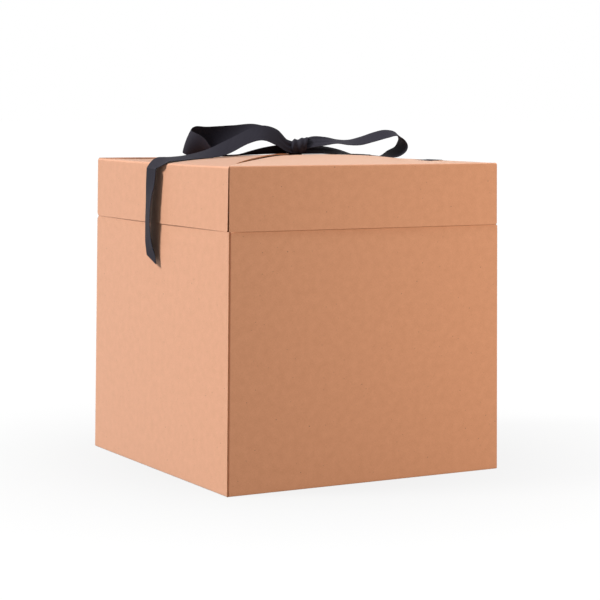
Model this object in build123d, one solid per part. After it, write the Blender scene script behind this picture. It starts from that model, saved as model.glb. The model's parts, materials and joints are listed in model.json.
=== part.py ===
from build123d import *
import math
import os

# Gift box folded from one sheet of card: four walls, a scored line at four fifths of the
# height, an upper panel above each wall and a triangular top flap on each upper panel.
# The four flaps meet at the middle of the roof, where a ribbon bow holds them shut.
# Millimetres. Origin at the middle of the underside, +Z up.
# Front is -Y, right is +X, back is +Y, left is -X.

# Driving dimensions of the card
BOX_WIDTH = 220.0
BOX_HEIGHT = 220.0
HALF = BOX_WIDTH / 2
SCORE_HEIGHT = 0.8 * BOX_HEIGHT      # the scored line that the upper panels turn on
BOARD = 0.8                          # thickness of the card
FOLD_GAP = 0.1                       # clearance that stands for a folded score
PANEL_INSET = 1.2                    # an upper panel stops this far short of each corner
SEAM_INSET_TOP = 1.7                 # and this far at the front end of the left one,
SEAM_INSET_BOTTOM = 3.3              # where its cut edge slants
NOTCH = 2.0                          # die-cut relief at each corner of the scored line
FLAP_TIP_GAP = 3.0                   # from a flap's blunt tip to the middle of the roof
SIDE_FLAP_RISE = 5.2                 # left and right flaps lie over the tips of the others
FRONT_FLAP_RISE = 3.2
GLUE_TAB_WIDTH = 20.0
GLUE_TAB_TAPER = 8.0

# Driving dimensions of the ribbon
RIBBON_WIDTH = 18.0
RIBBON = 0.6                         # thickness
LEAD_WIDTH = 8.0                     # the ribbon is gathered where it comes up to the knot
LEAD_LENGTH = 24.0                   # from the middle of the roof to its end under a flap
LEAD_OFFSET = 1.6                    # from the middle of the roof to where it rises
LEAD_RISE = 0.9                      # its top above the flap's upper face
BOW_CENTRE = (5.0, -3.0)             # the middle of the knot, in plan
BOW_TURN = 30.0                      # the loops lie turned this far from the X axis
KNOT_SIZE = (11.0, 16.0, 9.0)
KNOT_BASE = 226.6                    # height of the knot's underside
KNOT_FILLET = 3.0
LOOP_START = 6.2                     # where a loop begins, from the middle of the knot
LOOP_CLEARANCE = 0.3                 # from the knot's underside to the edge of the left loop
RUN_START = 6.0                      # where a run begins, from the middle of the box
RUN_END = HALF + 0.6                 # and where it ends, just past the roof's edge
RUN_END_HEIGHT = 1.2                 # its height above the roof's edge there
LEFT_RUN_START_Y = -9.0              # the left run slants: it leaves the knot towards the front
LEFT_TAIL_Y = 8.5                    # and crosses the left edge behind the middle of the box
RIGHT_RUN_START_Y = -5.0             # the right run slants under the right loop
RIGHT_TAIL_Y = -30.0                 # and crosses the right edge in front of the middle
LEFT_TAIL_END = 147.0                # height of the lowest point of each hanging end
RIGHT_TAIL_END = 130.0
TAIL_STANDOFF = 2.6                  # from the wall to the nearer face of a hanging tail
TAIL_TOP_GAP = 0.6                   # from the roof's edge down to the top of a tail
TAIL_SLANT = 12.0                    # drop of the slanting cut across a tail's end

SIDES = {"front": 0, "right": 90, "back": 180, "left": 270}


def prism(points, plane, depth):
    """A straight-sided solid: the outline on the plane, grown by depth along its normal."""
    return plane * extrude(Polygon(*points, align=None), amount=depth, dir=(0, 0, 1))


def turned(shape, side):
    """A shape drawn for the front of the box, turned about Z to one of its sides."""
    return Rot(0, 0, SIDES[side]) * shape


def front_plane():
    """Local x runs along +X and local y along +Z; the normal points out of the front."""
    return Plane(origin=(0, -HALF, 0), x_dir=(1, 0, 0), z_dir=(0, -1, 0))


def side_profile_plane():
    """At the left side. Local x runs along +Y from the front face, local y along +Z."""
    return Plane(origin=(-HALF, -HALF, 0), x_dir=(0, 1, 0), z_dir=(1, 0, 0))


def wall(side):
    """A wall with mitred vertical ends and a relief notch at both upper corners."""
    end = HALF - FOLD_GAP
    plan = [(-end, -HALF), (end, -HALF), (end - BOARD, BOARD - HALF), (BOARD - end, BOARD - HALF)]
    outline = [
        (-HALF, 0),
        (HALF, 0),
        (HALF, SCORE_HEIGHT - NOTCH),
        (HALF - NOTCH, SCORE_HEIGHT),
        (NOTCH - HALF, SCORE_HEIGHT),
        (-HALF, SCORE_HEIGHT - NOTCH),
    ]
    column = prism(plan, Plane.XY, SCORE_HEIGHT)
    return turned(column & prism(outline, front_plane(), -2 * BOARD), side)


def upper_panel(side):
    """The panel above the score. Its top end is mitred to meet the top flap."""
    foot = SCORE_HEIGHT + FOLD_GAP
    end = HALF - PANEL_INSET
    front_top = end
    front_foot = end
    if side == "left":
        front_top = HALF - SEAM_INSET_TOP
        front_foot = HALF - SEAM_INSET_BOTTOM
    outline = [
        (NOTCH - end, foot),
        (front_foot - NOTCH, foot),
        (front_foot, foot + NOTCH),
        (front_top, BOX_HEIGHT),
        (-end, BOX_HEIGHT),
        (-end, foot + NOTCH),
    ]
    top = BOX_HEIGHT - FOLD_GAP
    profile = [(0, foot), (BOARD, foot), (BOARD, top - BOARD), (0, top)]
    plate = prism(outline, front_plane(), -BOARD)
    return turned(plate & prism(profile, side_profile_plane(), BOX_WIDTH), side)


def tilt_to_roof(shape, rise):
    """Tips a shape drawn level at the box's top edge so that it rises to the middle."""
    angle = math.degrees(math.atan(rise / HALF))
    return Pos(0, -HALF, BOX_HEIGHT) * Rot(angle, 0, 0) * shape


def flap_rise(side):
    return SIDE_FLAP_RISE if side in ("left", "right") else FRONT_FLAP_RISE


def top_flap(side):
    """A triangular roof flap, drawn level with its fold on the X axis and its tip along +Y."""
    half_base = HALF - PANEL_INSET
    length = HALF - FLAP_TIP_GAP
    half_tip = half_base - length
    plan = [(-half_base, 0), (half_base, 0), (half_tip, length), (-half_tip, length)]
    profile = [
        (FOLD_GAP, 0),
        (length, 0),
        (length, -BOARD),
        (FOLD_GAP + BOARD, -BOARD),
    ]
    across = Plane(origin=(-HALF, 0, 0), x_dir=(0, 1, 0), z_dir=(1, 0, 0))
    flap = prism(plan, Plane.XY, -BOARD) & prism(profile, across, BOX_WIDTH)
    return turned(tilt_to_roof(flap, flap_rise(side)), side)


def ribbon_lead(side):
    """The gathered ribbon fixed under a side flap's tip and rising through the middle gap."""
    start = HALF - LEAD_LENGTH
    rise_start = HALF - LEAD_OFFSET - RIBBON / 2
    rise_end = HALF - LEAD_OFFSET + RIBBON / 2
    upper = -BOARD - FOLD_GAP
    lower = upper - RIBBON
    profile = [
        (start, upper),
        (start, lower),
        (rise_end, lower),
        (rise_end, LEAD_RISE),
        (rise_start, LEAD_RISE),
        (rise_start, upper),
    ]
    across = Plane(origin=(-LEAD_WIDTH / 2, 0, 0), x_dir=(0, 1, 0), z_dir=(1, 0, 0))
    return turned(tilt_to_roof(prism(profile, across, LEAD_WIDTH), flap_rise(side)), side)


def glue_tab():
    """The seam flap: it turns in from the front wall and is glued inside the left wall."""
    inside = BOARD + FOLD_GAP
    foot = 3 * BOARD
    top = SCORE_HEIGHT - NOTCH
    outline = [
        (HALF - inside - BOARD, foot),
        (HALF - inside - BOARD, top),
        (HALF - GLUE_TAB_WIDTH, top - GLUE_TAB_TAPER),
        (HALF - GLUE_TAB_WIDTH, foot + GLUE_TAB_TAPER),
    ]
    return turned(Pos(0, inside, 0) * prism(outline, front_plane(), -BOARD), "left")


def locking_bottom_flap(side):
    """A front or back bottom flap. The two hook past each other at the middle of the floor."""
    reach = 24.0
    step = 4.0
    gap = 0.3                        # air between the two hooked edges
    edge = HALF - BOARD - FOLD_GAP
    outline = [
        (-edge, -edge),
        (edge, -edge),
        (edge, -reach - gap),
        (step, -reach - gap),
        (-step, reach - gap),
        (-edge, reach - gap),
    ]
    return turned(prism(outline, Plane.XY, BOARD), side)


def side_bottom_flap(side):
    """A left or right bottom flap: it lies on the other two, inside the box."""
    edge = HALF - BOARD - FOLD_GAP
    depth = 72.0
    taper = 34.0
    outline = [
        (-edge + GLUE_TAB_WIDTH, -edge),
        (edge - GLUE_TAB_WIDTH, -edge),
        (edge - GLUE_TAB_WIDTH - taper, depth - edge),
        (GLUE_TAB_WIDTH + taper - edge, depth - edge),
    ]
    level = Plane.XY.offset(BOARD + FOLD_GAP)
    return turned(prism(outline, level, BOARD), side)


def ribbon_strip(curve, plane):
    """A flat ribbon following a curve drawn on a plane, with its width across the plane."""
    line = plane * curve
    start = Plane(origin=line @ 0, x_dir=plane.z_dir, z_dir=line % 0)
    return sweep(start * Rectangle(RIBBON_WIDTH, RIBBON), path=line)


def placed_on_bow(shape):
    """A shape drawn with the loops along the X axis, turned and moved to the bow."""
    return Pos(*BOW_CENTRE, 0) * Rot(0, 0, -BOW_TURN) * shape


def bow_knot():
    """The wrapped middle of the bow."""
    block = Box(*KNOT_SIZE, align=(Align.CENTER, Align.CENTER, Align.MIN))
    block = fillet(block.edges(), KNOT_FILLET)
    return placed_on_bow(Pos(0, 0, KNOT_BASE) * block)


def bow_loop_left():
    """The left loop stands on its edge: a long narrow bend in plan, as tall as the ribbon."""
    reach = 82.0
    back_start = 7.0
    back_bulge = 14.0
    turn = 9.0
    front = 4.0
    curve = Spline(
        (-LOOP_START, back_start),
        (-reach / 2, back_bulge),
        (-reach, turn),
        (-reach / 2, front),
        (-LOOP_START, front),
        tangents=[(-1, 0.2), (1, 0)],
    )
    plane = Plane.XY.offset(KNOT_BASE + RIBBON_WIDTH / 2 + LOOP_CLEARANCE)
    return placed_on_bow(ribbon_strip(curve, plane))


def bow_loop_right():
    """The right loop lies on its flat: a long bend in side view, as wide as the ribbon."""
    upper = [(LOOP_START, 7.0), (42, 8.4), (72, 14.9)]
    turn = (86, 5.4)
    lower = [(72, -1.4), (42, -0.2), (LOOP_START, 1.9)]
    curve = Spline(*upper, turn, *lower, tangents=[(1, 0.3), (-1, 0.05)])
    upright = Plane(origin=(0, 0, KNOT_BASE), x_dir=(1, 0, 0), z_dir=(0, -1, 0))
    return placed_on_bow(ribbon_strip(curve, upright))


def run_plane(start_y, end_y, end_x):
    """Upright, from beside the knot to the roof's edge; local x outward, y up from the edge."""
    return Plane(
        origin=(0, start_y, BOX_HEIGHT),
        x_dir=(end_x, end_y - start_y, 0),
        z_dir=(end_y - start_y, -end_x, 0),
    )


def ribbon_run_left():
    """The left run arches up from the knot and comes down onto the roof near the edge."""
    start = (RUN_START, 12)
    crest = (34, 22)
    fall = (70, 12.5)
    touch = (96, 2.4)
    end = (RUN_END, RUN_END_HEIGHT)
    curve = Spline(start, crest, fall, touch, end, tangents=[(1, 0.9), (1, 0)])
    return ribbon_strip(curve, run_plane(LEFT_RUN_START_Y, LEFT_TAIL_Y, -HALF))


def ribbon_run_right():
    """The right run lies along the roof, under the right loop, to the right edge."""
    curve = Line((RUN_START, 6.2), (RUN_END, RUN_END_HEIGHT))
    return ribbon_strip(curve, run_plane(RIGHT_RUN_START_Y, RIGHT_TAIL_Y, HALF))


def ribbon_tail(side, foot, offset):
    """A hanging end, from the box's top edge down past the score. Its end is cut slanting."""
    top = BOX_HEIGHT - TAIL_TOP_GAP
    half = RIBBON_WIDTH / 2
    outline = [(-half, foot + TAIL_SLANT), (half, foot), (half, top), (-half, top)]
    outward = Plane(origin=(offset, -HALF - TAIL_STANDOFF, 0), x_dir=(1, 0, 0), z_dir=(0, -1, 0))
    return turned(prism(outline, outward, RIBBON), side)


def build():
    """Every piece by its name."""
    pieces = {"glue_tab": glue_tab()}
    for side in SIDES:
        pieces[f"wall_{side}"] = wall(side)
        pieces[f"upper_panel_{side}"] = upper_panel(side)
        pieces[f"top_flap_{side}"] = top_flap(side)
    for side in ("front", "back"):
        pieces[f"bottom_flap_{side}"] = locking_bottom_flap(side)
    for side in ("left", "right"):
        pieces[f"bottom_flap_{side}"] = side_bottom_flap(side)
        pieces[f"ribbon_lead_{side}"] = ribbon_lead(side)
    pieces["bow_knot"] = bow_knot()
    pieces["bow_loop_left"] = bow_loop_left()
    pieces["bow_loop_right"] = bow_loop_right()
    pieces["ribbon_run_left"] = ribbon_run_left()
    pieces["ribbon_run_right"] = ribbon_run_right()
    pieces["ribbon_tail_left"] = ribbon_tail("left", LEFT_TAIL_END, -LEFT_TAIL_Y)
    pieces["ribbon_tail_right"] = ribbon_tail("right", RIGHT_TAIL_END, RIGHT_TAIL_Y)
    return pieces


os.makedirs("parts", exist_ok=True)
for name, piece in build().items():
    export_step(piece, f"parts/{name}.step")
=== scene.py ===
"""A gift box folded from one sheet of card and tied shut with a ribbon bow, on a pale floor.

The walls, the four petals of the top and every strand of ribbon are thin sheets built here in
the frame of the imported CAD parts, and they stand for those parts. Metres, +Z up, front is -Y.
"""
import json
import math

import bpy
import numpy as np
from mathutils import Matrix, Vector


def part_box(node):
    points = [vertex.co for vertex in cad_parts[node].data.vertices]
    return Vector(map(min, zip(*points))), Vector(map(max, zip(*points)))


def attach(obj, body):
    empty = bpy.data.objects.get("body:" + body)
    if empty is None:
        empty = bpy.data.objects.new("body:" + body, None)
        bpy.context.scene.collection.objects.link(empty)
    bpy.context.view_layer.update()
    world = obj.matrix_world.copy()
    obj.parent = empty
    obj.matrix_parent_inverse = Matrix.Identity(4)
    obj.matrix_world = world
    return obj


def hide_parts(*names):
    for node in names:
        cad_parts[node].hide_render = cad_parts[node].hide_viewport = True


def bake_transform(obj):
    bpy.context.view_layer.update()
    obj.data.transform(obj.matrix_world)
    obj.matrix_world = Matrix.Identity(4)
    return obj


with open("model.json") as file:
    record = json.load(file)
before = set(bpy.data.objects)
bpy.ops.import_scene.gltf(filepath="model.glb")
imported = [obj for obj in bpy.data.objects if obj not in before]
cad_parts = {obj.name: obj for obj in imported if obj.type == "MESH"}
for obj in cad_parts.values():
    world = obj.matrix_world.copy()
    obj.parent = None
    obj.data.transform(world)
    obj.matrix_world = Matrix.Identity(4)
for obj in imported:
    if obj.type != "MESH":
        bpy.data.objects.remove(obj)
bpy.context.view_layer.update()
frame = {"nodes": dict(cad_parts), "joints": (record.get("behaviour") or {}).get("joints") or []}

MM = 0.001

# Sizes read from the CAD parts
FOLDS = {joint["name"]: joint for joint in frame["joints"]}
HALF = -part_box("wall_front")[0].y
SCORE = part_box("wall_front")[1].z
TOP = FOLDS["flap_front_fold"]["pos_m"][2]
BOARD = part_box("bottom_flap_front")[1].z
FLAP_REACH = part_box("top_flap_front")[1].y + HALF
RIBBON_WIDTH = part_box("ribbon_tail_left")[1].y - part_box("ribbon_tail_left")[0].y

# Details of the card
FOLD_RADIUS = 0.8 * MM               # outside the walls' corner folds
PETAL_FOLD = 1.6 * MM                # outside the petals' folds at the roof's edge
SEAM_GAP = 0.3 * MM                  # between the left wall and the tab glued inside it
GLUE_TAB = 20.0 * MM
SCORE_GAP = 0.05 * MM                # between a wall and the panel above it
BULGE = 0.35 * MM                    # how full the walls, and the panels' feet, stand mid-width
SLIT = 1.25 * MM                     # each slanting edge of a flap is cut back by this, along
SLIT_GROWS_OVER = 25.0 * MM          # the fold, from this far in; nearer the fold by less
SIDES = {"front": 0, "right": 90, "back": 180, "left": 270}    # degrees turned about Z

# The walls' top edges are cut down by this at each corner fold, at 45 degrees. NOTCH_RUN is the
# height of wall over which the mesh is lowered to follow the cut.
NOTCHES = {"seam": 0.4 * MM, "front": 0.8 * MM, "right": 2 * MM, "back": 2 * MM}
NOTCH_RUN = 8 * MM
RELIEF_RUN = 7 * MM                  # the height of panel raised to follow its corners' cuts

# Each wall is drawn in at the score, over WAIST_RUN, and its top edge is rolled to a radius.
WAISTS = {"front": 1.0 * MM, "right": 1.0 * MM, "back": 1.0 * MM, "left": 0.3 * MM}
WAIST_RUN = 14 * MM
EDGE_ROLLS = {"front": 0.5 * MM, "right": 0.4 * MM, "back": 0.4 * MM, "left": 0.1 * MM}

# Details of the ribbon
RIBBON = 0.35 * MM                   # its thickness
CLEARANCE = 1.2 * RIBBON             # a strand's drawn face keeps this far above the card, so
                                     # that its other face clears the card too
END_CUT = 5.5                        # how far the ribbon's cut ends slant, in mm
BOW_TURN = 30.0                      # the bow lies turned this many degrees from the X axis
BOW_ALONG = Vector((math.cos(math.radians(BOW_TURN)), -math.sin(math.radians(BOW_TURN)), 0))
BOW_ACROSS = Vector((math.sin(math.radians(BOW_TURN)), math.cos(math.radians(BOW_TURN)), 0))


# ---------------------------------------------------------------- meshes of thin sheets

def offset_grid(grid, distance):
    """A grid of points moved by distance against its normals (along rows x along columns)."""
    normal = np.cross(np.gradient(grid, axis=0), np.gradient(grid, axis=1))
    normal /= np.linalg.norm(normal, axis=2, keepdims=True)
    return grid - distance * normal


def lengths(grid, axis):
    """Distance run along an axis of a grid, from its first point to each one."""
    steps = np.linalg.norm(np.diff(grid, axis=axis), axis=2)
    start = np.zeros_like(np.take(steps, [0], axis=axis))
    return np.concatenate([start, np.cumsum(steps, axis=axis)], axis=axis)


def grid_faces(rows, columns, first):
    """Four-cornered faces between the points of a grid whose first vertex number is given."""
    index = first + np.arange(rows * columns).reshape(rows, columns)
    corners = [index[:-1, :-1], index[1:, :-1], index[1:, 1:], index[:-1, 1:]]
    return np.stack(corners, axis=-1).reshape(-1, 4)


def rim_grids(outer, inner):
    """The four cut edges between the two faces of a sheet, each a grid two points wide."""
    return [
        np.stack([outer[0], inner[0]]),
        np.stack([inner[-1], outer[-1]]),
        np.stack([inner[:, 0], outer[:, 0]]),
        np.stack([outer[:, -1], inner[:, -1]]),
    ]


def sheet(name, outer, inner, face_material, edge_material):
    """A sheet between two grids of points, with its cut edges in a material of their own."""
    grids = [outer, inner[:, ::-1]] + rim_grids(outer, inner)
    points, faces, uvs, material = [], [], [], []
    count = 0
    for number, grid in enumerate(grids):
        rows, columns = grid.shape[:2]
        made = grid_faces(rows, columns, count)
        faces.append(made)
        points.append(grid.reshape(-1, 3))
        uvs.append(np.stack([lengths(grid, 0), lengths(grid, 1)], axis=-1).reshape(-1, 2))
        material += [0 if number < 2 else 1] * len(made)
        count += rows * columns
    faces = np.concatenate(faces)
    uvs = np.concatenate(uvs)
    mesh = bpy.data.meshes.new(name)
    mesh.from_pydata(np.concatenate(points).tolist(), [], faces.tolist())
    mesh.materials.append(face_material)
    mesh.materials.append(edge_material)
    mesh.polygons.foreach_set("material_index", material)
    mesh.polygons.foreach_set("use_smooth", [True] * len(faces))
    mesh.uv_layers.new(name="UVMap").data.foreach_set("uv", uvs[faces.ravel()].ravel())
    mesh.update()
    piece = bpy.data.objects.new(name, mesh)
    bpy.context.scene.collection.objects.link(piece)
    return piece


def smooth_rows(rows, steps):
    """Rows of numbers with smooth in-between rows, passing through each given one."""
    rows = np.array(rows, float)
    padded = np.vstack([2 * rows[0] - rows[1], rows, 2 * rows[-1] - rows[-2]])
    made = []
    for a, b, c, d in zip(padded, padded[1:], padded[2:], padded[3:]):
        for t in np.arange(steps) / steps:
            cubic = (3 * b - a - 3 * c + d) * t**3
            square = (2 * a - 5 * b + 4 * c - d) * t**2
            made.append((2 * b + (c - a) * t + square + cubic) / 2)
    made.append(rows[-1])
    return np.array(made)


def turned(grid, side):
    """A grid drawn for the front of the box, turned about Z to one of its sides."""
    angle = math.radians(SIDES[side])
    turn = np.array(Matrix.Rotation(angle, 3, "Z"))
    return grid @ turn.T


# ---------------------------------------------------------------- walls

def wall_recess(slack, waist, height):
    """How far a wall's face lies inside its plane: waisted at the score and full lower down."""
    below_score = np.clip((SCORE - height) / WAIST_RUN, 0, 1)
    fullness = np.sin(np.pi * height / SCORE)
    return slack * (waist * (1 - below_score) ** 2 - BULGE * fullness)


def end_roll(distance, radius):
    """How far a face turns inward at this distance from an edge rounded to a radius."""
    short = np.clip(1 - distance / radius, 0, 1)
    return radius * (1 - np.sqrt(1 - short**2))


def corner_arc(steps=6):
    """Points of a rounded corner about the origin, from facing -Y to facing +X."""
    angles = np.linspace(-np.pi / 2, 0, steps)
    return np.stack([np.cos(angles), np.sin(angles)], axis=1)


def wall_plan(side):
    """Plan of one wall's outer face and the fold after it: x, y, normal x and y, slack, drop.

    slack is how freely the wall bends there, from 0 at its folds to 1 in its middle.
    """
    before = {"front": "seam", "right": "front", "back": "right", "left": "back"}[side]
    after = "seam" if side == "left" else side
    start = FOLD_RADIUS - HALF
    end = HALF - FOLD_RADIUS
    if side == "front":
        start += BOARD + SEAM_GAP
    if side == "left":
        end = HALF
    inner_xs = np.linspace(start + NOTCHES[before], end - NOTCHES[after], 33)
    xs = [start, *inner_xs, end]
    drops = [NOTCHES[before]] + [0] * len(inner_xs) + [NOTCHES[after]]
    rows = [(x, -HALF, 0, -1, 1 - (x / HALF) ** 2, drop) for x, drop in zip(xs, drops)]
    if side != "left":
        for nx, ny in corner_arc()[1:-1]:
            x = HALF - FOLD_RADIUS * (1 - nx)
            y = -HALF + FOLD_RADIUS * (1 + ny)
            rows.append((x, y, nx, ny, 0, NOTCHES[side]))
    return rows


def seam_plan():
    """Plan of the glue tab inside the left wall and the fold that leads it to the front."""
    face = -HALF + BOARD + SEAM_GAP
    drop = NOTCHES["seam"]
    tab = np.linspace(GLUE_TAB - HALF, FOLD_RADIUS - HALF, 8)
    rows = [(face, y, -1, 0, 0, drop) for y in tab]
    for nx, ny in corner_arc()[-2:0:-1]:
        x = face + FOLD_RADIUS * (1 - nx)
        y = -HALF + FOLD_RADIUS * (1 + ny)
        rows.append((x, y, -nx, ny, 0, drop))
    return rows


def carton_plan():
    """The whole wrap in plan, from the glue tab round the four walls to the seam.

    Its rows are those of a wall's plan, each followed by the waist and the edge roll there.
    """
    rows = [(*row, 0, EDGE_ROLLS["left"]) for row in seam_plan()]
    for side in SIDES:
        turn = np.array(Matrix.Rotation(math.radians(SIDES[side]), 2))
        for x, y, nx, ny, slack, drop in wall_plan(side):
            point = turn @ (x, y)
            normal = turn @ (nx, ny)
            rows.append((*point, *normal, slack, drop, WAISTS[side], EDGE_ROLLS[side]))
    return np.array(rows)


def carton(face_material, edge_material):
    """The four walls as one folded sheet, glued at the front left corner."""
    plan = carton_plan()
    near_floor = np.array([0, 0.2, 0.5, 1, 3, 8]) * MM
    near_score = SCORE - np.array([24, 16, 11, 7, 4, 2, 1, 0.5, 0.25, 0.08, 0]) * MM
    heights = np.concatenate([near_floor, np.linspace(20 * MM, SCORE - 34 * MM, 22), near_score])
    x, y, nx, ny, slack, drop, waist, edge_roll = (column[:, None] for column in plan.T)
    lowered = heights - drop * np.clip(1 - (SCORE - heights) / NOTCH_RUN, 0, 1)
    recess = wall_recess(slack, waist, heights)
    roll = end_roll(SCORE - heights, edge_roll) + end_roll(heights, BOARD)

    def face(inward):
        return np.stack([x - nx * inward, y - ny * inward, lowered + 0 * inward], axis=-1)

    piece = sheet("carton_walls", face(recess + roll), face(recess + BOARD), face_material, edge_material)
    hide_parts("glue_tab", *[f"wall_{side}" for side in SIDES])
    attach(piece, "box")


# ---------------------------------------------------------------- petals of the top

# For each petal, seen from outside it and in mm: the gap at its left and right ends (at its
# foot, at its top), the cut across its lower left and right corners, how far its panel stands
# in from the wall's plane, and the heights of its flap's left edge, middle and right edge
# above the fold's level at equal steps from the fold to the tip.
PETALS = {
    "front": {
        "left": (0.2, 0.2), "right": (1.4, 1.4), "relief": (0.3, 0.8), "inset": -0.8,
        "heights": [
            (0.4, 2.0, 3.2, 4.2, 4.6, 4.3),
            (0.5, 1.9, 3.2, 4.4, 5.0, 4.4),
            (0.6, 0.6, 2.0, 4.6, 5.2, 4.4),
        ],
    },
    "right": {
        "left": (0.9, 0.9), "right": (1.0, 1.0), "relief": (0.8, 2.0), "inset": 0.1,
        "heights": [
            (0.5, -0.1, 1.2, 4.2, 5.2, 4.7),
            (0.5, -0.1, 0.8, 2.5, 4.5, 4.7),
            (0.4, 0.6, 1.3, 2.6, 4.1, 4.7),
        ],
    },
    "back": {
        "left": (0.8, 0.8), "right": (0.5, 0.8), "relief": (2.0, 2.0), "inset": 0.1,
        "heights": [
            (0.6, 1.1, 1.8, 2.9, 4.0, 4.3),
            (0.5, 0.8, 1.3, 2.2, 3.5, 4.3),
            (0.4, 0.9, 1.0, 1.7, 3.3, 4.3),
        ],
    },
    "left": {
        "left": (0.9, 0.9), "right": (2.0, 1.1), "relief": (2.0, 0.8), "inset": -0.1,
        "heights": [
            (0.0, -0.1, 0.6, 2.1, 3.9, 5.0),
            (-0.5, 1.3, 2.4, 3.6, 4.7, 5.1),
            (0.0, 2.8, 4.4, 5.6, 6.0, 5.3),
        ],
    },
}

# The same heights with smooth in-between rows
FLAP_EDGES = {
    side: smooth_rows(np.transpose(settings["heights"]), 8) for side, settings in PETALS.items()
}


def flap_height(side, depth, across):
    """Height of a flap's upper face; depth runs inward from its fold and across from 0 to 1."""
    edges = FLAP_EDGES[side]
    places = np.linspace(0, 1, len(edges))
    left, middle, right = (np.interp(depth / HALF, places, column) for column in edges.T)
    bend = 2 * (left + right - 2 * middle)
    slope = 4 * middle - 3 * left - right
    return TOP + MM * (left + slope * across + bend * across**2)


def roof_height(x, y):
    """Height of the roof's upper face at a point in plan."""
    if abs(x) > abs(y):
        side = "right" if x > 0 else "left"
    else:
        side = "back" if y > 0 else "front"
    angle = math.radians(-SIDES[side])
    local_x = x * math.cos(angle) - y * math.sin(angle)
    local_y = x * math.sin(angle) + y * math.cos(angle)
    depth = HALF + local_y
    half_width = max(HALF - depth, MM)
    across = min(max(0.5 + local_x / half_width / 2, 0), 1)
    return float(flap_height(side, depth, across))


def petal_rows(foot):
    """Depth, height and share of the panel's height for each row from the foot to the tip.

    The height is None over the flap, where flap_height gives it.
    """
    up = foot + np.concatenate([[0, 0.08, 0.25, 0.5, 1, 2, 4, 7], np.linspace(11, 42, 12)]) * MM
    rows = [(0.0, z, (z - foot) / (TOP - foot)) for z in up]
    for cosine, sine in corner_arc(8)[::-1]:
        rows.append((PETAL_FOLD * (1 - cosine), TOP - PETAL_FOLD * (1 + sine), 1.0))
    rows += [(depth, None, 1.0) for depth in np.linspace(2 * PETAL_FOLD, FLAP_REACH, 48)]
    return rows


def relief(width, across, cuts):
    """How far a panel's foot is cut up across its width: slanting cuts at its two corners."""
    left, right = cuts
    from_left = width * across
    from_right = width * (1 - across)
    return np.clip(left * MM - from_left, 0, None) + np.clip(right * MM - from_right, 0, None)


def petal_face(side):
    """The outer face of a petal, drawn for the front of the box, from its left to its right."""
    settings = PETALS[side]
    ends = np.array([0, 0.0025, 0.005, 0.01, 0.02, 0.045])
    across = np.concatenate([ends, np.linspace(0.08, 0.92, 25), 1 - ends[::-1]])
    foot = SCORE + SCORE_GAP
    fold_rise = flap_height(side, 0, across) - TOP
    columns = []
    for depth, height, share in petal_rows(foot):
        inward = max(0, depth - PETAL_FOLD) + SLIT * min(1, depth / SLIT_GROWS_OVER)
        left = HALF - MM * np.interp(share, [0, 1], settings["left"]) - inward
        right = HALF - MM * np.interp(share, [0, 1], settings["right"]) - inward
        x = across * (left + right) - left
        y = depth - HALF + settings["inset"] * MM + 0 * across
        if height is None:
            z = flap_height(side, depth, across)
        else:
            y -= BULGE * (1 - (2 * across - 1) ** 2) * (1 - share)
            near_foot = np.clip(1 - (height - foot) / RELIEF_RUN, 0, 1)
            raised = relief(left + right, across, settings["relief"]) * near_foot
            z = height + fold_rise * share**2 + raised
        columns.append(np.stack([x, y, z], axis=-1))
    return np.stack(columns, axis=1)


def petal(side, face_material, edge_material):
    """An upper panel and its flap as one sheet that bends at the roof's edge."""
    outer = turned(petal_face(side), side)
    inner = offset_grid(outer, BOARD)
    piece = sheet(f"card_petal_{side}", outer, inner, face_material, edge_material)
    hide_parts(f"upper_panel_{side}", f"top_flap_{side}")
    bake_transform(piece)


# ---------------------------------------------------------------- ribbon

def along_bow(stations):
    """Stations given along the bow, across it (away from the viewer) and up, in the box's frame."""
    rows = np.array(stations, float)
    axes = np.array([BOW_ALONG, BOW_ACROSS, (0, 0, 1)])
    rows[:, 0:3] = rows[:, 0:3] @ axes
    rows[:, 3:6] = rows[:, 3:6] @ axes
    return rows


def pleats(width, across, count):
    """Ripple of a ribbon that is drawn in to less than its full width."""
    spare = np.sqrt(np.maximum(RIBBON_WIDTH / width - 1, 0))
    return width / (2 * math.pi * count) * spare**3 * np.sin(math.pi * count * across + 0.6)


def lay_on_roof(grid):
    """Lifts any point over the roof that would lie lower than the clearance from its face."""
    for point in grid.reshape(-1, 3):
        if max(abs(point[0]), abs(point[1])) < HALF - MM:
            point[2] = max(point[2], roof_height(point[0], point[1]) + CLEARANCE)


def ribbon_strand(name, stations, materials, cup=0.0, pleat_count=2.5, cut=0.0, on_roof=True):
    """A strand of ribbon through stations of (centre, direction across it, width) in mm.

    The direction across the ribbon need not be square to the strand: where it slants, the
    ribbon is turning over. cup is how far its middle stands off its edges and cut how far its
    end slants, both in mm.
    """
    steps = 10
    rows = smooth_rows(stations, steps)
    centre = rows[:, 0:3] * MM
    across = rows[:, 3:6]
    width = rows[:, 6] * MM
    along = np.gradient(centre, axis=0)
    along /= np.linalg.norm(along, axis=1, keepdims=True)
    across /= np.linalg.norm(across, axis=1, keepdims=True)
    normal = np.cross(along, across)
    places = np.linspace(-1, 1, 25)
    ripple = pleats(width[:, None], places[None, :], pleat_count) + cup * MM * (1 - places**2)
    near_end = np.clip(np.arange(len(rows)) - len(rows) + 1 + steps, 0, None) / steps
    grid = (
        centre[:, None]
        + across[:, None] * (width[:, None] * places / 2)[..., None]
        + normal[:, None] * ripple[..., None]
        - along[:, None] * (near_end[:, None] * (1 + places) * cut * MM / 2)[..., None]
    )
    if on_roof:
        lay_on_roof(grid)
    piece = sheet(name, grid, offset_grid(grid, RIBBON), *materials)
    return piece


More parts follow.
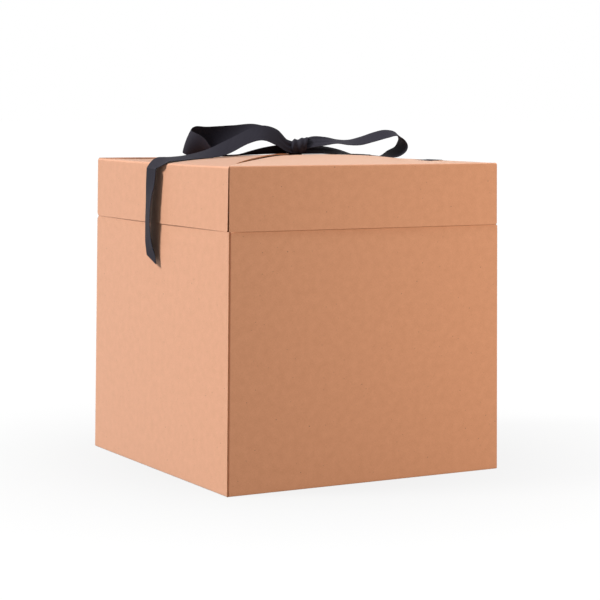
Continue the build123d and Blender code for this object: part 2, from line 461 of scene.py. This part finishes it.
# Stations of the loops: centre along the bow, across it and up; the direction across the
# ribbon given the same way; the ribbon's width there.
LEFT_LOOP = [
    (3.4, 0, 230, 0, 0.2, 1, 8),
    (-4.6, 2, 232.3, 0, 0.4, 1, 9),
    (-13.5, 5, 238.4, 0, 0.6, 0.8, 11.5),
    (-28.4, 9, 241.2, 0, 0.7, 0.72, 16.5),
    (-44.4, 11, 237.8, 0, 0.35, 0.94, 18),
    (-64.3, 11, 236.2, 0.15, 0, 1, 18),
    (-75.2, 8, 236.8, 0.3, 0, 1, 18),
    (-79.2, 3, 234.6, 0.37, 0, 1, 18),
    (-76.2, -2, 232.4, 0.3, -0.1, 1, 18),
    (-67.2, -5, 229.4, 0.1, -0.5, 0.85, 18),
    (-56.3, -7, 224.5, 0, -0.95, 0.16, 18),
    (-42, -8, 224, 0, -1, 0.06, 18),
    (-30, -8, 225.8, 0, -1, 0.2, 17.5),
    (-18.5, -7, 227, 0, -0.85, 0.5, 14),
    (-8.5, -5, 228.5, 0, -0.8, 0.7, 11),
    (3.4, -3, 229, 0, -0.7, 0.9, 9),
]
RIGHT_LOOP = [
    (6.4, -3, 231.3, 0, 1, 0.7, 11),
    (14.3, -4, 234.2, 0, 1, 0.75, 13),
    (24.3, -5, 235, 0, 1, 0.45, 14.5),
    (33.2, -6, 234.9, 0, 1, 0.17, 16.5),
    (42.2, -7, 234.3, 0, 1, 0.2, 18),
    (51.2, -8, 235.5, 0, 1, 0.34, 18),
    (61.1, -9, 238.5, 0, 1, 0.4, 18),
    (70, -9.5, 240.8, -0.1, 1, 0.33, 18),
    (77.4, -9.5, 240.9, -0.05, 1, 0.15, 18),
    (81.6, -9.5, 237, -0.2, 0.95, 0.05, 18),
    (82.3, -9.3, 232.6, -0.4, 0.88, 0.1, 18),
    (80.2, -9, 228.7, -0.4, 0.87, 0.2, 18),
    (74.5, -8.5, 225.7, -0.3, 0.9, 0.25, 18),
    (65.1, -7.5, 223.4, -0.1, 1, 0, 18),
    (49.2, -6, 223.8, 0, 1, 0, 17.5),
    (33.2, -4.5, 226.4, 0, 1, 0.36, 15),
    (19.3, -3.5, 227.2, 0, 1, 0.75, 13.5),
    (6.4, -3, 228, 0, 1, 0.8, 10),
]

# Stations of the ends: the same, in the box's own frame.
LEFT_END = [
    (1, -7.5, 229.9, 0.15, 0.26, 1, 9),
    (-7.3, -5.8, 231.2, 0.3, 0.5, 0.9, 11),
    (-15.8, -4.4, 237.5, 0.35, 0.6, 0.7, 16.5),
    (-26.5, -3.2, 240.8, 0.4, 0.7, 0.6, 18),
    (-37.1, -1.6, 238.4, 0.5, 0.7, 0.7, 17.5),
    (-53, 0, 231, 0.4, 0.75, 0.6, 18),
    (-66, 0.5, 226.6, 0.4, 0.8, 0.4, 18),
    (-76.4, -0.4, 224.6, 0.42, 0.87, 0.26, 18),
    (-90, -3.2, 222.8, 0.38, 0.91, 0.17, 18.2),
    (-103.4, -5.4, 221.9, 0.44, 0.89, 0.14, 19.8),
    (-108.2, -3.8, 220.8, 0.36, 0.9, 0.25, 19.2),
    (-110.4, -0.3, 219.8, 0.31, 0.89, 0.33, 18.6),
    (-111.9, 3, 218.2, 0.2, 0.93, 0.28, 17.2),
    (-114.2, 2.6, 215.7, 0.05, 1, 0.05, 17),
    (-114.6, 2.8, 213.7, 0.06, 1, 0, 17.5),
    (-114.6, 4.3, 204, 0.11, 0.99, 0, 18),
    (-115, 6, 193, 0.23, 0.97, 0, 18),
    (-115.2, 7, 177.5, 0.27, 0.965, 0, 18),
    (-114.2, 7.2, 162.5, 0.19, 0.98, 0, 18),
    (-112.9, 5.8, 153.5, 0.1, 1, 0, 18),
    (-112.6, 4.6, 147, 0.1, 1, 0, 18),
]
RIGHT_END = [
    (6, -6, 226.5, 0, 1, 0, 9),
    (20, -11, 225.8, 0, 1, 0, 14),
    (45, -17, 224, 0, 1, 0, 18),
    (75, -24, 220.4, 0, 1, 0, 18),
    (90, -26.6, 220, 0, 1, 0, 18),
    (104, -29, 220.6, 0, 1, 0, 18),
    (108.7, -29.8, 220.9, 0, 1, 0, 18),
    (110.7, -30, 219.3, 0, 1, 0, 18),
    (111.4, -30, 213, 0, 1, 0, 18),
    (113, -30, 200, -0.1, 1, 0, 18),
    (114.5, -31, 175, -0.25, 1, 0, 18),
    (114, -32, 150, -0.1, 1, 0, 18),
    (113, -31, 130, 0, 1, 0, 18),
]
LEFT_LEAD = [
    (-26, 0, 222, 0, 1, 0, 8),
    (-12, 0, 223, 0, 1, 0, 8),
    (-4, 0, 223.5, 0, 1, 0, 7.5),
    (-1.6, 0, 224.8, 0, 1, 0, 7),
    (0, -1, 228, 0, 1, 0, 7),
]


def bow(materials):
    """The loops and the knot, lifted away together."""
    left = ribbon_strand("bow_loop_left_ribbon", along_bow(LEFT_LOOP), materials, 0.8)
    right = ribbon_strand("bow_loop_right_ribbon", along_bow(RIGHT_LOOP), materials)
    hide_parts("bow_loop_left")
    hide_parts("bow_loop_right")
    for piece in (left, right, knot(materials)):
        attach(piece, "bow")


def knot(materials):
    """A pleated band wrapped once round the gathered strands.

    Its centre and radii are in mm along the bow, across it and up. The band leans a little:
    its upper side lies further along the bow, and its far end a little higher.
    """
    centre = (5.3, -3, 230.7)
    half_length, radius_across, radius_up = 6, 6.4, 6
    lean_along, lean_up = 0.8, 1.2
    around = np.linspace(-0.5 * np.pi, 1.5 * np.pi, 49)
    along = np.linspace(-1, 1, 33)
    angle, place = np.meshgrid(around, along, indexing="ij")
    flare = 1 + 0.12 * place**2 - 0.8 * np.clip(abs(place) - 0.75, 0, 1)
    pleat = 0.45 * np.sin(7 * place + 0.5 * np.sin(angle)) * (1 - 0.3 * place**2)
    points = [
        centre[0] + half_length * place + lean_along * np.sin(angle),
        centre[1] + (radius_across * flare + pleat) * np.cos(angle),
        centre[2] + lean_up * place + (radius_up * flare + pleat) * np.sin(angle),
    ]
    grid = np.stack(points, axis=-1) @ np.array([BOW_ALONG, BOW_ACROSS, (0, 0, 1)]) * MM
    piece = sheet("bow_knot_ribbon", grid, offset_grid(grid, RIBBON), *materials)
    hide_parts("bow_knot")
    return piece


def ribbon_ends(materials):
    """Each run and its hanging end as one strand that bends at the roof's edge."""
    for side, stations, outward in (("left", LEFT_END, -1), ("right", RIGHT_END, 1)):
        strand = ribbon_strand(f"ribbon_end_{side}", stations, materials, cut=END_CUT)
        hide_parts(f"ribbon_run_{side}", f"ribbon_tail_{side}")
        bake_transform(strand)


def ribbon_leads(materials):
    """The gathered ribbon that comes up to the knot from under the side flaps' tips."""
    for side, mirror in (("left", 1), ("right", -1)):
        stations = np.array(LEFT_LEAD)
        stations[:, 0] *= mirror
        stations[:, 1] *= mirror
        strand = ribbon_strand(f"ribbon_lead_{side}_gathered", stations, materials, 0, 1.5, on_roof=False)
        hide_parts(f"ribbon_lead_{side}")
        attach(strand, f"flap_{side}")


# ---------------------------------------------------------------- materials

def node_material(name, roughness):
    """A new material of a roughness, with its node tree and its shader node."""
    material = bpy.data.materials.new(name)
    material.use_nodes = True
    shader = material.node_tree.nodes["Principled BSDF"]
    shader.inputs["Roughness"].default_value = roughness
    return material, material.node_tree, shader


def add_node(tree, kind, **settings):
    """A node of a kind, with its inputs or properties set by name."""
    node = tree.nodes.new(kind)
    for name, value in settings.items():
        if name in node.inputs:
            node.inputs[name].default_value = value
        else:
            setattr(node, name, value)
    return node


def stretched_noise(tree, along, across, detail):
    """Noise in the sheet's own metres, with so many grains per metre each way."""
    place = tree.nodes.new("ShaderNodeTexCoord")
    mapping = tree.nodes.new("ShaderNodeMapping")
    mapping.inputs["Scale"].default_value = (along, across, 1)
    noise = add_node(tree, "ShaderNodeTexNoise", Scale=1.0, Detail=detail)
    tree.links.new(place.outputs["UV"], mapping.inputs["Vector"])
    tree.links.new(mapping.outputs["Vector"], noise.inputs["Vector"])
    return noise


def map_range(tree, value, start, end, reach=1.0):
    """0 where a value is at or below start, rising to reach where it is at or past end."""
    ramp = tree.nodes.new("ShaderNodeMapRange")
    ramp.inputs["From Min"].default_value = start
    ramp.inputs["From Max"].default_value = end
    ramp.inputs["To Max"].default_value = reach
    tree.links.new(value, ramp.inputs["Value"])
    return ramp.outputs["Result"]


def card_fibres(tree):
    """Short fibres lying both ways in the sheet."""
    up = stretched_noise(tree, 700, 2600, 2)
    across = stretched_noise(tree, 2600, 700, 2)
    fibres = add_node(tree, "ShaderNodeMath", operation="ADD")
    tree.links.new(up.outputs["Fac"], fibres.inputs[0])
    tree.links.new(across.outputs["Fac"], fibres.inputs[1])
    return fibres.outputs[0]


def mottled(tree, fibres, dark, light):
    """A colour between dark and light that follows the fibres and a faint clouding."""
    cloud = stretched_noise(tree, 175, 175, 5)
    together = add_node(tree, "ShaderNodeMath", operation="MULTIPLY_ADD")
    together.inputs[1].default_value = 0.9
    tree.links.new(cloud.outputs["Fac"], together.inputs[0])
    tree.links.new(fibres, together.inputs[2])
    colour = add_node(tree, "ShaderNodeMix", data_type="RGBA")
    colour.inputs["A"].default_value = (*dark, 1)
    colour.inputs["B"].default_value = (*light, 1)
    tree.links.new(map_range(tree, together.outputs[0], 1.0, 1.9), colour.inputs["Factor"])
    return colour.outputs["Result"]


def specked(tree, colour):
    """A colour with a few dark specks scattered over it."""
    specks = stretched_noise(tree, 620, 620, 0)
    mixed = add_node(tree, "ShaderNodeMix", data_type="RGBA")
    mixed.inputs["B"].default_value = (0.25, 0.11, 0.06, 1)
    tree.links.new(map_range(tree, specks.outputs["Fac"], 0.82, 0.88, 0.6), mixed.inputs["Factor"])
    tree.links.new(colour, mixed.inputs["A"])
    return mixed.outputs["Result"]


def card_material(name, dark, light, smooth):
    """Matt solid board with crossed fibres, clouding and specks; smooth is 0 for its raw edge."""
    material, tree, shader = node_material(name, 0.6)
    fibres = card_fibres(tree)
    colour = specked(tree, mottled(tree, fibres, dark, light))
    tree.links.new(colour, shader.inputs["Base Color"])
    bump = add_node(tree, "ShaderNodeBump", Strength=0.25, Distance=0.00006)
    tree.links.new(fibres, bump.inputs["Height"])
    tree.links.new(bump.outputs["Normal"], shader.inputs["Normal"])
    shader.inputs["Specular IOR Level"].default_value = 0.42 * smooth
    shader.inputs["Sheen Weight"].default_value = 0.55 * smooth
    shader.inputs["Sheen Roughness"].default_value = 0.4
    return material


def ribbon_material(name, dark, light):
    """Charcoal ribbon, nearly matt, with fine ribs across it."""
    material, tree, shader = node_material(name, 0.68)
    place = tree.nodes.new("ShaderNodeTexCoord")
    ribs = add_node(tree, "ShaderNodeTexWave", bands_direction="X", Scale=320.0, Distortion=0.3)
    tree.links.new(place.outputs["UV"], ribs.inputs["Vector"])
    colour = add_node(tree, "ShaderNodeMix", data_type="RGBA")
    colour.inputs["A"].default_value = (*dark, 1)
    colour.inputs["B"].default_value = (*light, 1)
    tree.links.new(ribs.outputs["Fac"], colour.inputs["Factor"])
    tree.links.new(colour.outputs["Result"], shader.inputs["Base Color"])
    bump = add_node(tree, "ShaderNodeBump", Strength=0.4, Distance=0.00008)
    tree.links.new(ribs.outputs["Fac"], bump.inputs["Height"])
    tree.links.new(bump.outputs["Normal"], shader.inputs["Normal"])
    shader.inputs["Specular IOR Level"].default_value = 0.12
    return material


# ---------------------------------------------------------------- stage

def seen_or_lighting(tree, seen, lighting):
    """A brightness that is one value seen directly or mirrored and another as a source of light."""
    path = tree.nodes.new("ShaderNodeLightPath")
    either = add_node(tree, "ShaderNodeMath", operation="MAXIMUM")
    strength = tree.nodes.new("ShaderNodeMapRange")
    strength.inputs["To Min"].default_value = lighting
    strength.inputs["To Max"].default_value = seen
    tree.links.new(path.outputs["Is Camera Ray"], either.inputs[0])
    tree.links.new(path.outputs["Is Glossy Ray"], either.inputs[1])
    tree.links.new(either.outputs[0], strength.inputs["Value"])
    return strength.outputs["Result"]


def painted_shade_round_box(tree, brightness):
    """The floor's brightness with a painted shade: dimmed softly round the foot of the box, both as seen
    and as light given off.
    """
    reach = 1 / 2.2
    depth = 0.22
    place = tree.nodes.new("ShaderNodeTexCoord")
    mapping = tree.nodes.new("ShaderNodeMapping")
    mapping.inputs["Scale"].default_value = (1 / reach, 1 / reach, 1 / reach)
    # Painted shade: a soft darkening of the floor's glow round the box, not a cast shadow.
    painted_shade_pool = add_node(tree, "ShaderNodeTexGradient", gradient_type="QUADRATIC_SPHERE")
    dimmed = add_node(tree, "ShaderNodeMath", operation="MULTIPLY_ADD")
    dimmed.inputs[1].default_value = -depth
    tree.links.new(place.outputs["Object"], mapping.inputs["Vector"])
    tree.links.new(mapping.outputs["Vector"], painted_shade_pool.inputs["Vector"])
    tree.links.new(painted_shade_pool.outputs["Fac"], dimmed.inputs[0])
    tree.links.new(brightness, dimmed.inputs[2])
    return dimmed.outputs[0]


def floor():
    """A pale floor that takes only a faint cast shadow, with a painted shade round the foot of the box.
    """
    bpy.ops.mesh.primitive_plane_add(size=60)
    plane = bpy.context.object
    plane.name = "floor"
    material, tree, shader = node_material("pale_floor", 0.9)
    shader.inputs["Base Color"].default_value = (0.035, 0.035, 0.035, 1)
    shader.inputs["Specular IOR Level"].default_value = 0
    shader.inputs["Emission Color"].default_value = (1, 1, 1, 1)
    brightness = painted_shade_round_box(tree, seen_or_lighting(tree, 0.98, 0.29))
    tree.links.new(brightness, shader.inputs["Emission Strength"])
    plane.data.materials.append(material)


def backdrop():
    """White to the camera, dimmer as a light."""
    world = bpy.data.worlds.new("studio")
    bpy.context.scene.world = world
    world.use_nodes = True
    tree = world.node_tree
    background = tree.nodes["Background"]
    background.inputs["Color"].default_value = (1, 1, 1, 1)
    tree.links.new(seen_or_lighting(tree, 1.0, 0.11), background.inputs["Strength"])


def sun(name, towards_light, strength, angle, colour):
    """A distant soft light, given by the direction from the box towards it."""
    data = bpy.data.lights.new(name, "SUN")
    data.energy = strength
    data.angle = math.radians(angle)
    data.color = colour
    lamp = bpy.data.objects.new(name, data)
    lamp.rotation_euler = Vector(towards_light).to_track_quat("Z", "Y").to_euler()
    bpy.context.scene.collection.objects.link(lamp)


def softbox(name, place, aim, size, power, colour):
    """A square area light at a place, facing the point it is aimed at."""
    data = bpy.data.lights.new(name, "AREA")
    data.energy = power
    data.size = size
    data.color = colour
    lamp = bpy.data.objects.new(name, data)
    lamp.location = place
    lamp.rotation_euler = (Vector(place) - Vector(aim)).to_track_quat("Z", "Y").to_euler()
    lamp.visible_camera = False
    bpy.context.scene.collection.objects.link(lamp)


def camera():
    """A little above the box's top and nearly level; its lens is shifted down to frame the box."""
    place = (-0.7018, -1.2484, 0.259)
    yaw, pitch, roll = math.radians(29.56), math.radians(2.40), math.radians(0.34)
    forward = Vector(
        (math.sin(yaw) * math.cos(pitch), math.cos(yaw) * math.cos(pitch), math.sin(pitch))
    )
    level = Vector((math.cos(yaw), -math.sin(yaw), 0))
    above = level.cross(forward)
    right = level * math.cos(roll) + above * math.sin(roll)
    up = right.cross(forward)
    turn = Matrix((right, up, -forward)).transposed()
    data = bpy.data.cameras.new("camera")
    data.sensor_width = 36
    data.lens = 114.43
    eye = bpy.data.objects.new("camera", data)
    eye.matrix_world = Matrix.Translation(place) @ turn.to_4x4()
    bpy.context.scene.collection.objects.link(eye)
    bpy.context.scene.camera = eye
    shift_where_placed(eye, -0.452)


def shift_where_placed(eye, shift):
    """Shifts the lens only where the camera now stands; seen from elsewhere the box is centred."""
    driver = eye.data.driver_add("shift_y").driver
    variable = driver.variables.new()
    variable.name = "x"
    variable.type = "TRANSFORMS"
    variable.targets[0].id = eye
    variable.targets[0].transform_type = "LOC_X"
    driver.expression = f"{shift} if abs(x - {eye.location.x:.4f}) < 0.001 else 0"


# ---------------------------------------------------------------- build

def lights():
    """A key light from the left, soft light from above and a warm fill for the front."""
    sun("key", towards_light=(-0.72, 0.25, 0.65), strength=3.9, angle=16, colour=(1, 1, 1))
    sun("overhead", towards_light=(0.1, -0.1, 1), strength=1.0, angle=40, colour=(0.88, 0.93, 1.0))
    softbox(
        "fill", place=(0.5, -0.82, 0.2), aim=(0.0, -0.1, 0.12), size=0.4, power=4.7,
        colour=(1.0, 0.77, 0.55),
    )


def bottom(card):
    """The floor of the box keeps its CAD meshes, in the card's material."""
    for side in SIDES:
        flap = frame["nodes"][f"bottom_flap_{side}"]
        flap.data.materials.clear()
        flap.data.materials.append(card)


def main():
    card = card_material("card", (0.64, 0.305, 0.168), (0.76, 0.378, 0.224), 1.0)
    # The raw cut edges take the board's brown darkened as painted shade, so the slits at the corners and
    # between the petals read dark brown.
    cut = card_material("card_cut_edge_painted_shade", (0.42, 0.19, 0.10), (0.58, 0.30, 0.18), 0.0)
    ribbon = ribbon_material("ribbon", (0.010, 0.0088, 0.0145), (0.019, 0.0168, 0.0262))
    selvedge = ribbon_material("ribbon_edge", (0.008, 0.0072, 0.0105), (0.014, 0.0125, 0.018))
    carton(card, cut)
    bottom(card)
    for side in SIDES:
        petal(side, card, cut)
    bow((ribbon, selvedge))
    ribbon_ends((ribbon, selvedge))
    ribbon_leads((ribbon, selvedge))
    floor()
    backdrop()
    lights()
    camera()
    bpy.context.scene.view_settings.view_transform = "Standard"


main()
